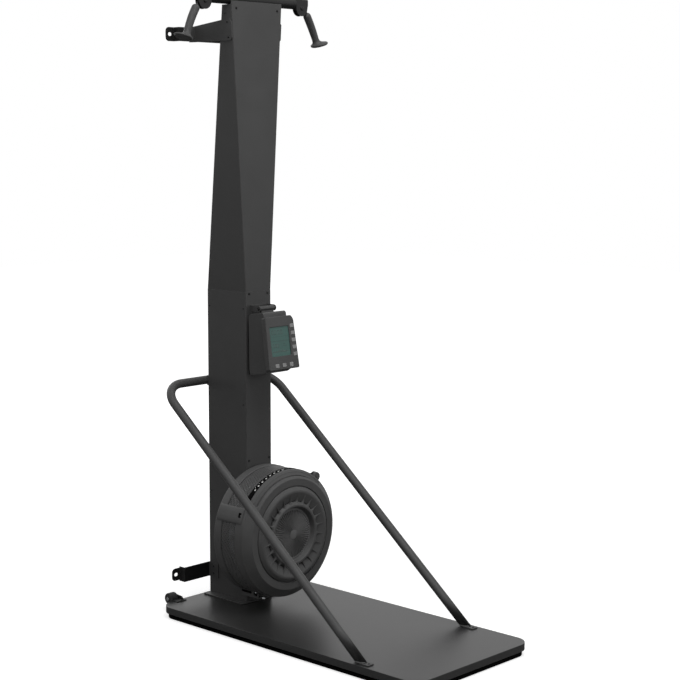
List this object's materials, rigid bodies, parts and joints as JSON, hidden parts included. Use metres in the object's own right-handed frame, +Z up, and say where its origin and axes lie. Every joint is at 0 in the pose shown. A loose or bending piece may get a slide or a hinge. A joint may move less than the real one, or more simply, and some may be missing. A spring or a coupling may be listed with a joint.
{
  "type": "ski trainer machine",
  "caption": "Upright ski trainer on a deck: a tapered post with an air brake drum, two pull handles on cords, a monitor and a bent brace.",
  "frame": {"origin": "bottom centre of the bounding box, on the floor under the deck", "axes": "+Z up, -Y towards the user at the deck's front end, +X to the right of someone who looks along +Y"},
  "size_m": [0.7294, 1.292, 2.251],
  "materials": {
    "grey_steel": "fine satin powder coat",
    "black_steel": "black powder coat",
    "brace_paint": "grey powder coat",
    "deck_laminate": "grey non-slip laminate",
    "deck_edge": "black sealed board",
    "drum_plastic": "moulded, light grain",
    "black_plastic": "fine grain",
    "grip_plastic": "satin with a soft sheen",
    "fan_metal": "plain sheet",
    "bearing_steel": "ground",
    "braided_cord": "braided",
    "wheel_rubber": "smooth",
    "display_glass": "green grey liquid crystal behind glass",
    "key_rubber": "soft"
  },
  "bodies": {
    "root": {"deck_board": "deck_laminate", "deck_base": "deck_edge", "post_foot_plate": "grey_steel", "lower_post": "grey_steel", "lower_post_back": "grey_steel", "post_splice": "black_steel", "upper_column": "grey_steel", "upper_column_back": "grey_steel", "column_cap": "grey_steel", "crossbar": "grey_steel", "pulley_housing_left": "black_steel", "pulley_housing_right": "black_steel", "idler_yoke": "black_steel", "drive_cord_left": "braided_cord", "drive_cord_right": "braided_cord", "bearing_front": "bearing_steel", "bearing_rear": "bearing_steel", "fan_rear_housing": "drum_plastic", "fan_mesh_band": "black_steel", "fan_front_cover": "drum_plastic", "fan_centre_cap": "drum_plastic", "fan_inlet_screen": "black_plastic", "clamp_lug_left": "drum_plastic", "clamp_lug_right": "drum_plastic", "clamp_lug_lower": "drum_plastic", "brace_tube": "brace_paint", "brace_foot_left": "grey_steel", "brace_foot_right": "grey_steel", "wheel_bracket_left": "black_steel", "wheel_bracket_right": "black_steel", "upper_wall_plate_left": "black_steel", "upper_wall_plate_right": "black_steel", "upper_wall_strap": "black_steel", "lower_wall_strap": "black_steel", "monitor_bracket": "black_steel"},
    "handle_left": {"handle_grip_left": "grip_plastic"},
    "handle_right": {"handle_grip_right": "grip_plastic"},
    "top_pulley_left": {"top_pulley_left": "black_plastic"},
    "top_pulley_right": {"top_pulley_right": "black_plastic"},
    "idler_left": {"idler_left": "black_plastic"},
    "idler_right": {"idler_right": "black_plastic"},
    "drum_left": {"drive_drum_left": "fan_metal"},
    "drum_right": {"drive_drum_right": "fan_metal"},
    "fan_rotor": {"fan_axle": "bearing_steel", "fan_wheel": "fan_metal"},
    "damper": {"damper_ring": "black_plastic"},
    "monitor": {"monitor_front": "black_plastic", "monitor_rear": "black_plastic", "monitor_screen": "display_glass"},
    "wheel_left": {"transport_wheel_left": "wheel_rubber"},
    "wheel_right": {"transport_wheel_right": "wheel_rubber"},
    "button_column_1": {"button_column_1": "key_rubber"},
    "button_column_2": {"button_column_2": "key_rubber"},
    "button_column_3": {"button_column_3": "key_rubber"},
    "button_column_4": {"button_column_4": "key_rubber"},
    "button_column_5": {"button_column_5": "key_rubber"},
    "button_row_1": {"button_row_1": "key_rubber"},
    "button_row_2": {"button_row_2": "key_rubber"},
    "button_row_3": {"button_row_3": "key_rubber"}
  },
  "joints": [
    {"name": "handle_left_pull", "type": "slide", "parent": "root", "child": "handle_left", "axis": [0, 0, -1], "range_m": [0, 1.3], "stiffness_N_per_m": 20, "springref_m": -0.5},
    {"name": "top_pulley_left_spin", "type": "hinge", "parent": "root", "child": "top_pulley_left", "pos_m": [-0.2365, 0.4013, 2.218], "axis": [0, -1, 0], "range_deg": [0, 3600]},
    {"name": "idler_left_spin", "type": "hinge", "parent": "root", "child": "idler_left", "pos_m": [-0.0485, 0.4013, 2.203], "axis": [0, -1, 0], "range_deg": [0, 4080]},
    {"name": "drum_left_spin", "type": "hinge", "parent": "root", "child": "drum_left", "pos_m": [0, 0.428, 0.3245], "axis": [0, 1, 0], "range_deg": [0, 2520]},
    {"name": "handle_right_pull", "type": "slide", "parent": "root", "child": "handle_right", "axis": [0, 0, -1], "range_m": [0, 1.3], "stiffness_N_per_m": 20, "springref_m": -0.5},
    {"name": "top_pulley_right_spin", "type": "hinge", "parent": "root", "child": "top_pulley_right", "pos_m": [0.2365, 0.4013, 2.218], "axis": [0, 1, 0], "range_deg": [0, 3600]},
    {"name": "idler_right_spin", "type": "hinge", "parent": "root", "child": "idler_right", "pos_m": [0.0485, 0.4013, 2.203], "axis": [0, 1, 0], "range_deg": [0, 4080]},
    {"name": "drum_right_spin", "type": "hinge", "parent": "root", "child": "drum_right", "pos_m": [0, 0.463, 0.3245], "axis": [0, 1, 0], "range_deg": [0, 2520]},
    {"name": "fan_spin", "type": "hinge", "parent": "root", "child": "fan_rotor", "pos_m": [0, 0.3, 0.3245], "axis": [0, 1, 0], "continuous": true},
    {"name": "damper_turn", "type": "hinge", "parent": "root", "child": "damper", "pos_m": [0, 0.258, 0.3245], "axis": [0, 1, 0], "range_deg": [0, 60]},
    {"name": "monitor_tilt", "type": "hinge", "parent": "root", "child": "monitor", "pos_m": [0, 0.34, 1.1379], "axis": [-1, 0, 0], "range_deg": [0, 20]},
    {"name": "button_column_1_press", "type": "slide", "parent": "monitor", "child": "button_column_1", "axis": [0, 0.9877, -0.1564], "range_m": [0, 0.0015], "stiffness_N_per_m": 400},
    {"name": "button_column_2_press", "type": "slide", "parent": "monitor", "child": "button_column_2", "axis": [0, 0.9877, -0.1564], "range_m": [0, 0.0015], "stiffness_N_per_m": 400},
    {"name": "button_column_3_press", "type": "slide", "parent": "monitor", "child": "button_column_3", "axis": [0, 0.9877, -0.1564], "range_m": [0, 0.0015], "stiffness_N_per_m": 400},
    {"name": "button_column_4_press", "type": "slide", "parent": "monitor", "child": "button_column_4", "axis": [0, 0.9877, -0.1564], "range_m": [0, 0.0015], "stiffness_N_per_m": 400},
    {"name": "button_column_5_press", "type": "slide", "parent": "monitor", "child": "button_column_5", "axis": [0, 0.9877, -0.1564], "range_m": [0, 0.0015], "stiffness_N_per_m": 400},
    {"name": "button_row_1_press", "type": "slide", "parent": "monitor", "child": "button_row_1", "axis": [0, 0.9877, -0.1564], "range_m": [0, 0.0015], "stiffness_N_per_m": 400},
    {"name": "button_row_2_press", "type": "slide", "parent": "monitor", "child": "button_row_2", "axis": [0, 0.9877, -0.1564], "range_m": [0, 0.0015], "stiffness_N_per_m": 400},
    {"name": "button_row_3_press", "type": "slide", "parent": "monitor", "child": "button_row_3", "axis": [0, 0.9877, -0.1564], "range_m": [0, 0.0015], "stiffness_N_per_m": 400},
    {"name": "wheel_left_spin", "type": "hinge", "parent": "root", "child": "wheel_left", "pos_m": [-0.222, 0.625, 0.049], "axis": [1, 0, 0], "continuous": true},
    {"name": "wheel_right_spin", "type": "hinge", "parent": "root", "child": "wheel_right", "pos_m": [0.222, 0.625, 0.049], "axis": [1, 0, 0], "continuous": true}
  ],
  "couplings": [
    {"joint": "top_pulley_left_spin", "follows": "handle_left_pull", "rad_per_m": 47.619},
    {"joint": "idler_left_spin", "follows": "handle_left_pull", "rad_per_m": 54.054},
    {"joint": "drum_left_spin", "follows": "handle_left_pull", "rad_per_m": 33.333},
    {"joint": "top_pulley_right_spin", "follows": "handle_right_pull", "rad_per_m": 47.619},
    {"joint": "idler_right_spin", "follows": "handle_right_pull", "rad_per_m": 54.054},
    {"joint": "drum_right_spin", "follows": "handle_right_pull", "rad_per_m": 33.333}
  ]
}
